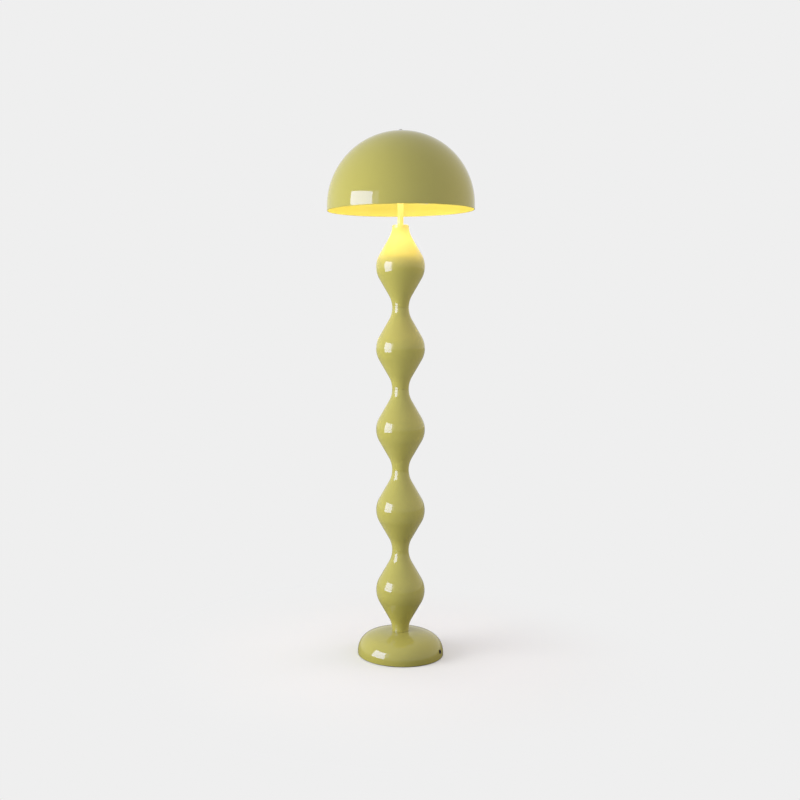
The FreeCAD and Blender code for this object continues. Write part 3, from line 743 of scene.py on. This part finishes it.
def bead_side(bottom, inset, end):
    """One bead's side, from its lower to its upper end and moved inwards by inset. It
    keeps the height end from both ends."""
    turn = math.radians(flank_angle)
    rise = bead_pitch / 2
    swell = belly_radius - neck_radius
    bend = (rise * math.sin(turn) - swell * math.cos(turn)) / (1 - math.cos(turn)) / 2
    neck_bend, belly_bend = bend + inset, bend - inset
    start = math.degrees(math.asin(end / neck_bend))
    low = (neck_radius + bend, bottom)
    middle = (belly_radius - bend, bottom + rise)
    high = (neck_radius + bend, bottom + bead_pitch)
    side = arc_points(low, neck_bend, 180 - start, 180 - flank_angle, step=1.5)
    side += arc_points(middle, belly_bend, -flank_angle, flank_angle, step=1.5)
    side += arc_points(high, neck_bend, 180 + flank_angle, 180 + start, step=1.5)
    return side


for number in range(bead_count):
    bottom = bead_bottom + number * bead_pitch
    top = bottom + bead_pitch
    bead_outline = [(bead_end_bore, bottom)]
    bead_outline += bead_side(bottom, 0, bead_end_gap)
    bead_outline += [(bead_end_bore, top), (bead_end_bore, top - bead_end_ring)]
    bead_outline += bead_side(bottom, bead_wall, bead_end_ring)[::-1]
    bead_outline.append((bead_end_bore, bottom + bead_end_ring))
    bead = lathe(
        f"bead_{number + 1}_pressed", eased(bead_outline, ease=0.0005), sides=224
    )
    put_on(bead, olive_lacquer, "stand", f"bead_{number + 1}")


# ------------------------------------------------------ centre tube, collar and plug
# A straight steel tube carries the lamp's head. A collar brazed to it presses the beads
# down, and a threaded plug closes its end. The part that shows is lacquered olive.

tube_radius, tube_bore = 0.008, 0.0065
upper_tube_bottom, upper_tube_top = 0.6215, 1.236
collar_radius = 0.020
collar_bottom, collar_top = 1.1765, 1.178
collar_spigot_bottom = 1.1665
collar_bore = 0.00805
plug_bore, plug_shank_radius = 0.00505, 0.00645
plug_bottom, plug_top = 1.222, 1.238

tube_outline = [
    (tube_bore, upper_tube_bottom), (tube_radius, upper_tube_bottom),
    (tube_radius, collar_top), (tube_radius, upper_tube_top),
    (tube_bore, upper_tube_top),
]
upper_tube = lathe("upper_tube_drawn", eased(tube_outline, ease=0.0003), sides=96)
put_on(upper_tube, olive_lacquer, "stand", "upper_tube")
collar_outline = [
    (collar_bore, collar_spigot_bottom), (locating_radius, collar_spigot_bottom),
    (locating_radius, collar_bottom), (collar_radius, collar_bottom),
    (collar_radius, collar_top), (collar_bore, collar_top),
]
collar = lathe("top_collar_turned", eased(collar_outline, ease=0.0004))
put_on(collar, olive_lacquer, "stand", "top_collar")
plug_outline = [
    (plug_bore, plug_bottom), (plug_shank_radius, plug_bottom),
    (plug_shank_radius, upper_tube_top), (tube_radius, upper_tube_top),
    (tube_radius, plug_top), (plug_bore, plug_top),
]
plug = lathe("tube_plug_turned", eased(plug_outline, ease=0.0003), sides=96)
put_on(plug, olive_lacquer, "stand", "tube_plug")


# --------------------------------------------------------------------- shade bracket
# A steel strip bent into a loop round the bulb, clamped under the lamp holder. It holds
# the shade up by its crown. Powder coated white, with the fine texture of the powder.

powder_white = (0.80, 0.79, 0.75, 1)
powder_grey = (0.72, 0.71, 0.66, 1)

white_powder = new_finish(
    "white powder coat", grained,
    {"Colour": powder_white, "Patch Colour": powder_grey, "Patch Size": 0.04,
     "Grain Size": 0.0012, "Grain Darkness": 0.08, "Roughness": 0.38},
    relief=0.00012,
)
dress("shade_bracket", white_powder)


# ----------------------------------------------------------------------- lamp holder
# A two-part moulded holder for a screw-cap bulb: a cup with a neck below, and a ribbed
# skirt screwed into it. Between them they hold a porcelain core with the live parts.

holder_white = (0.77, 0.76, 0.71, 1)
holder_shade = (0.69, 0.68, 0.62, 1)
porcelain_white = (0.80, 0.79, 0.75, 1)
porcelain_warm = (0.74, 0.72, 0.66, 1)
holder_radius, holder_bore = 0.020, 0.0175
holder_bottom, holder_joint, holder_mouth = 1.243, 1.261, 1.295
holder_wall = 0.0025
core_bottom, core_top = 1.253, 1.269
ledge_radius = 0.014
lip_radius = 0.015
skirt_ribs = 48
rib_depth = 0.0005
rib_bottom, rib_top = 1.2655, 1.2895
rib_margin = 0.0004                      # keeps the skirt plain below its ribs
rib_rows = 24


def hollow_ribs(piece, count, depth, low, high, full_radius):
    """Presses upright hollows into a turned piece's outer side, all round."""
    run_out = 0.0012                     # the hollows end in slopes this high
    fullness = 0.8                       # under 1, the ridges between them are slim
    slack = 1e-5
    for vertex in piece.data.vertices:
        radius = math.hypot(vertex.co.x, vertex.co.y)
        if radius < full_radius - slack or not low < vertex.co.z < high:
            continue
        turn = math.atan2(vertex.co.y, vertex.co.x)
        share = min(1.0, (vertex.co.z - low) / run_out, (high - vertex.co.z) / run_out)
        hollow = depth * share * abs(math.sin(turn * count / 2)) ** fullness
        vertex.co.x *= (radius - hollow) / radius
        vertex.co.y *= (radius - hollow) / radius
    piece.data.update()


holder_plastic = new_finish(
    "moulded holder", grained,
    {"Colour": holder_white, "Patch Colour": holder_shade, "Patch Size": 0.015,
     "Grain Size": 0.0006, "Grain Darkness": 0.10, "Roughness": 0.40},
    relief=0.00004,
)
cap_outline = [
    (plug_bore, holder_bottom), (holder_radius - holder_wall, holder_bottom),
    (holder_radius, holder_bottom + holder_wall), (holder_radius, holder_joint),
    (holder_bore, holder_joint), (holder_bore, core_bottom),
    (ledge_radius, core_bottom), (ledge_radius, holder_bottom + holder_wall),
    (plug_bore, holder_bottom + holder_wall),
]
holder_cap = lathe("holder_cap_moulded", eased(cap_outline, ease=0.0006))
put_on(holder_cap, holder_plastic, "stand", "holder_cap")

skirt_outline = [
    (holder_bore, holder_joint), (holder_radius, holder_joint),
    (holder_radius, rib_bottom - rib_margin),
]
for row in range(rib_rows + 1):
    skirt_outline.append(
        (holder_radius, rib_bottom + (rib_top - rib_bottom) * row / rib_rows)
    )
skirt_outline += [
    (holder_radius, holder_mouth), (lip_radius, holder_mouth), (lip_radius, core_top),
    (holder_bore, core_top),
]
holder_skirt = lathe(
    "holder_skirt_moulded", eased(skirt_outline, ease=0.0006), sides=480
)
hollow_ribs(holder_skirt, skirt_ribs, rib_depth, rib_bottom, rib_top, holder_radius)
put_on(holder_skirt, holder_plastic, "stand", "holder_skirt")

porcelain = new_finish(
    "glazed porcelain", grained,
    {"Colour": porcelain_white, "Patch Colour": porcelain_warm, "Patch Size": 0.010,
     "Grain Size": 0.0008, "Grain Darkness": 0.05, "Roughness": 0.20},
    relief=0.00002,
)
dress("holder_core", porcelain)


# ------------------------------------------------------------------------------ bulb
# A round opal bulb with a screw cap: a blown globe, white inside, on a rolled nickel
# thread, closed below by dark glass with a soldered tip. It lights the shade's inside.

bulb_globe_radius = 0.030
bulb_centre = 1.3454
bulb_neck_radius, bulb_neck_height = 0.01425, 1.3004
bulb_cap_radius, bulb_cap_wall = 0.01305, 0.0004
bulb_cap_bottom, bulb_cap_top = 1.2754, 1.2974
bulb_glass_wall = 0.001
bulb_tip_radius, bulb_tip_bend = 0.0045, 0.0014
bulb_tip_bottom, bulb_tip_top = 1.2704, 1.2724
thread_pitch, thread_depth = 0.003629, 0.0007

opal_white = (0.86, 0.84, 0.78, 1)
opal_warm = (1.0, 0.86, 0.62, 1)
glow_at_neck = (0.55, 0.30, 0.10, 1)
glow_of_globe = (1.0, 0.80, 0.50, 1)
full_glow_height = 1.3354
globe_brightness = 8.0

bulb_power, bulb_warm = 1.85, (1.0, 0.90, 0.86)
bulb_softness = 0.027
down_power, down_colour = 4.75, (0.97, 0.70, 1.0)
down_angle, down_softness = 40, 0.065
opening_power, opening_warm = 1.1, (1.0, 0.81, 0.92)
opening_size, opening_height = 0.28, 1.2365


def globe_side(inset):
    """The globe's side from the cap to its top, moved inwards by inset."""
    globe = bulb_globe_radius - inset
    neck = bulb_neck_radius - inset
    distance = math.hypot(neck, bulb_centre - bulb_neck_height)
    touch = math.atan2(bulb_neck_height - bulb_centre, neck)
    touch += math.acos(globe / distance)
    side = [(bulb_cap_radius - bulb_cap_wall - inset, bulb_cap_top),
            (neck, bulb_neck_height)]
    side += arc_points((0, bulb_centre), globe, math.degrees(touch), 90, step=3)
    side[-1] = (0, bulb_centre + globe)
    return side


def glow_by_height(material, low, high, low_colour, high_colour, strength):
    """Gives a finish a light of its own, whose colour changes from low to high."""
    tree = material.node_tree
    shader = tree.nodes["Principled BSDF"]
    place = add_node(tree, "ShaderNodeTexCoord").outputs["Object"]
    height = add_node(tree, "ShaderNodeSeparateXYZ", {0: place}).outputs["Z"]
    share = remapped(tree, height, (low, high))
    tree.links.new(
        blended(tree, share, low_colour, high_colour), shader.inputs["Emission Color"]
    )
    shader.inputs["Emission Strength"].default_value = strength


globe = lathe(
    "bulb_globe_blown", globe_side(0) + globe_side(bulb_glass_wall)[::-1], sides=128
)
opal_glass = new_finish(
    "opal glass", grained,
    {"Colour": opal_white, "Patch Colour": opal_warm, "Patch Size": 0.03,
     "Grain Size": 0.0015, "Grain Darkness": 0.02, "Roughness": 0.18},
    relief=0.00001,
)
glow_by_height(
    opal_glass, bulb_neck_height, full_glow_height, glow_at_neck, glow_of_globe,
    globe_brightness,
)
put_on(globe, opal_glass, "bulb", "bulb_globe")
globe.visible_shadow = False


def bulb_lamp(name, kind, height, power, colour):
    """A light on the lamp's axis that neither the camera nor a reflection shows."""
    light = bpy.data.lights.new(name, kind)
    light.energy = power
    light.color = colour
    lamp = bpy.data.objects.new(name, light)
    lamp.location = (0, 0, height)
    lamp.visible_camera = False
    lamp.visible_glossy = False
    add_to_scene(lamp)
    return light


# One light all round, one down the column, and one for what the shade's opening spreads.
all_round = bulb_lamp("bulb_light", "POINT", bulb_centre, bulb_power, bulb_warm)
all_round.shadow_soft_size = bulb_softness
down = bulb_lamp("bulb_light_down", "SPOT", bulb_centre, down_power, down_colour)
down.spot_size, down.spot_blend = math.radians(down_angle), 1.0
down.shadow_soft_size = down_softness
opening = bulb_lamp(
    "light_from_opening", "AREA", opening_height, opening_power, opening_warm
)
opening.shape, opening.size = "DISK", opening_size


def rolled_thread(name, radius, depth, wall, bottom, top, pitch):
    """A thin sleeve with a round thread rolled into it, plain at both ends."""
    sides, rows_a_turn = 96, 10
    mesh = bmesh.new()
    rows = math.ceil((top - bottom) / pitch * rows_a_turn)
    skins = []
    for offset in (0.0, wall):
        grid = []
        for row in range(rows + 1):
            height = bottom + (top - bottom) * row / rows
            fade = min(1.0, (height - bottom) / pitch, (top - height) / pitch)
            line = []
            for side in range(sides):
                turn = math.tau * side / sides
                wave = 0.5 - 0.5 * math.cos(math.tau * height / pitch - turn)
                reach = radius - offset - depth * wave * max(0.0, fade)
                line.append(
                    mesh.verts.new((reach * math.cos(turn), reach * math.sin(turn), height))
                )
            grid.append(line)
        skins.append(grid)
    outer, inner = skins
    for grid in skins:
        for lower, upper in zip(grid, grid[1:]):
            for side in range(sides):
                after = (side + 1) % sides
                mesh.faces.new((lower[side], lower[after], upper[after], upper[side]))
    for row in (0, -1):
        for side in range(sides):
            after = (side + 1) % sides
            mesh.faces.new(
                (outer[row][side], outer[row][after], inner[row][after], inner[row][side])
            )
    return piece_from(name, mesh)


nickel_bright = (0.66, 0.64, 0.60, 1)
nickel_dull = (0.50, 0.48, 0.44, 1)
cap_nickel = new_finish(
    "cap nickel", turned_metal,
    {"Colour": nickel_bright, "Cloud Colour": nickel_dull, "Cloud Size": 0.010,
     "Ring Width": 0.0006, "Roughness": 0.26},
    relief=0.00001, plain={"Metallic": 1.0},
)
bulb_cap = rolled_thread(
    "bulb_cap_rolled", bulb_cap_radius, thread_depth, bulb_cap_wall,
    bulb_cap_bottom, bulb_cap_top, thread_pitch,
)
put_on(bulb_cap, cap_nickel, "bulb", "bulb_cap")

insulator_black = (0.018, 0.017, 0.020, 1)
insulator_brown = (0.030, 0.022, 0.018, 1)
cap_glass = new_finish(
    "cap insulator", grained,
    {"Colour": insulator_black, "Patch Colour": insulator_brown, "Patch Size": 0.008,
     "Grain Size": 0.0008, "Grain Darkness": 0.2, "Roughness": 0.16},
    relief=0.00003,
)
insulator_outline = [
    (0, bulb_tip_top), (bulb_tip_radius, bulb_tip_top),
    (bulb_cap_radius, bulb_cap_bottom), (0, bulb_cap_bottom),
]
insulator = lathe("bulb_insulator_cast", eased(insulator_outline, ease=0.0004), sides=96)
put_on(insulator, cap_glass, "bulb", "bulb_insulator")

solder_bright = (0.56, 0.55, 0.53, 1)
solder_dull = (0.36, 0.35, 0.34, 1)
solder = new_finish(
    "solder", turned_metal,
    {"Colour": solder_bright, "Cloud Colour": solder_dull, "Cloud Size": 0.003,
     "Ring Width": 0.0008, "Roughness": 0.38},
    relief=0.0001, plain={"Metallic": 1.0},
)
tip_outline = [(0, bulb_tip_bottom)]
tip_outline += arc_points(
    (bulb_tip_radius - bulb_tip_bend, bulb_tip_bottom + bulb_tip_bend), bulb_tip_bend,
    270, 360, step=15,
)
tip_outline += [(bulb_tip_radius, bulb_tip_top), (0, bulb_tip_top)]
tip = lathe("bulb_tip_soldered", tip_outline, sides=64)
put_on(tip, solder, "bulb", "bulb_tip")


# ----------------------------------------------------------------------------- shade
# A half globe spun from sheet steel, with a short upright skirt and a folded hem. It
# hangs by its crown. Its inside is lacquered like the outside, with a painted warm glow
# added to the bulb's real light on it.

shade_radius = 0.200
dome_centre = 1.23101
shade_rim = 1.21701
shade_top = 1.4305
shade_wall = 0.001
shade_hole = 0.0034
hem_thickness = 0.0022
hem_end_top, hem_end_bottom = 0.0036, 0.0028     # of the folded end, above the rim
shade_olive = (0.434, 0.394, 0.090, 1)
shade_olive_drift = (0.414, 0.375, 0.083, 1)
# Painted glow for the shade's inside: its lacquer's own light, standing in for the bulb's
# light thrown about inside the shade
painted_glow_at_rim = (1.0, 0.82, 0.13, 1)
painted_glow_at_bulb = (1.0, 0.88, 0.22, 1)
painted_inside_glow = 0.11


def dome_side(inset, top):
    """The dome's side from the skirt to the flat crown, moved inwards by inset."""
    radius = shade_radius - inset
    end = math.degrees(math.asin((top - dome_centre) / radius))
    return arc_points((0, dome_centre), radius, 0, end, step=1.2)


hem_bend = hem_thickness / 2
shade_outline = arc_points(
    (shade_radius - hem_bend, shade_rim + hem_bend), hem_bend, 180, 360, step=15
)
shade_outline += dome_side(0, shade_top)
shade_outline += [(shade_hole, shade_top), (shade_hole, shade_top - shade_wall)]
shade_outline += dome_side(shade_wall, shade_top - shade_wall)[::-1]
shade_outline += [
    (shade_radius - shade_wall, shade_rim + hem_end_top),
    (shade_radius - hem_thickness, shade_rim + hem_end_bottom),
]
shade = lathe("shade_spun", shade_outline, sides=384)

shade_lacquer = new_finish(
    "shade lacquer", lacquered,
    {"Colour": shade_olive, "Drift Colour": shade_olive_drift, "Dust": 0.015,
     "Roughness": 0.020, "Drift Size": 0.16, "Ring Width": 0.004, "Ring Share": 0.5},
    relief=0.0000012, plain={"IOR": 1.52},
)
put_on(shade, shade_lacquer, "shade", "shade")

# The inside's lacquer, with the painted glow added
shade_inside_painted_glow = shade_lacquer.copy()
shade_inside_painted_glow.name = "shade lacquer, painted glow inside"
glow_by_height(
    shade_inside_painted_glow, shade_rim, bulb_centre, painted_glow_at_rim, painted_glow_at_bulb, painted_inside_glow
)
shade.data.materials.append(shade_inside_painted_glow)
# The faces that look inwards take the copy with the painted glow
for face in shade.data.polygons:
    outwards = face.center - Vector((0, 0, min(face.center.z, dome_centre)))
    if face.normal.dot(outwards) < 0:
        face.material_index = 1


# ---------------------------------------------------------------------------- finial
# A small washer and a low domed cap nut on the stud, which hold the shade down. Turned
# brass, satin nickel plated; the nut's edge is finely knurled for the fingers.

finial_radius = 0.006
finial_bottom, finial_edge, finial_top = 1.4313, 1.4333, 1.4363
finial_bore, finial_bore_top = 0.00305, 1.4353
washer_radius, washer_hole = 0.008, 0.0032
knurl_teeth = 40
knurl_depth = 0.00022
knurl_rows = 8
satin_nickel = (0.60, 0.585, 0.55, 1)
satin_nickel_dull = (0.50, 0.485, 0.45, 1)

finial_nickel = new_finish(
    "satin nickel", turned_metal,
    {"Colour": satin_nickel, "Cloud Colour": satin_nickel_dull, "Cloud Size": 0.006,
     "Ring Width": 0.0002, "Roughness": 0.34},
    relief=0.000006, plain={"Metallic": 1.0},
)
washer_outline = [
    (washer_hole, shade_top), (washer_radius, shade_top),
    (washer_radius, finial_bottom), (washer_hole, finial_bottom),
]
washer = lathe("finial_washer_turned", eased(washer_outline, ease=0.0003), sides=128)
put_on(washer, finial_nickel, "finial", "finial_washer")

crown = finial_top - finial_edge
sphere = (finial_radius**2 + crown**2) / (2 * crown)
start = math.degrees(math.asin((finial_edge - (finial_top - sphere)) / sphere))
finial_outline = [(finial_bore, finial_bottom)]
for row in range(knurl_rows):
    finial_outline.append(
        (finial_radius, finial_bottom + (finial_edge - finial_bottom) * row / knurl_rows)
    )
finial_outline += arc_points((0, finial_top - sphere), sphere, start, 90, step=3)
finial_outline[-1] = (0, finial_top)
finial_outline += [(0, finial_bore_top), (finial_bore, finial_bore_top)]
finial_nut = lathe("finial_nut_turned", eased(finial_outline, ease=0.0003), sides=480)
hollow_ribs(
    finial_nut, knurl_teeth, knurl_depth, finial_bottom, finial_edge, finial_radius
)
put_on(finial_nut, finial_nickel, "finial", "finial_nut")


# ----------------------------------------------------------------------------- sizes
# The box of every piece that renders.

low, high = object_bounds()
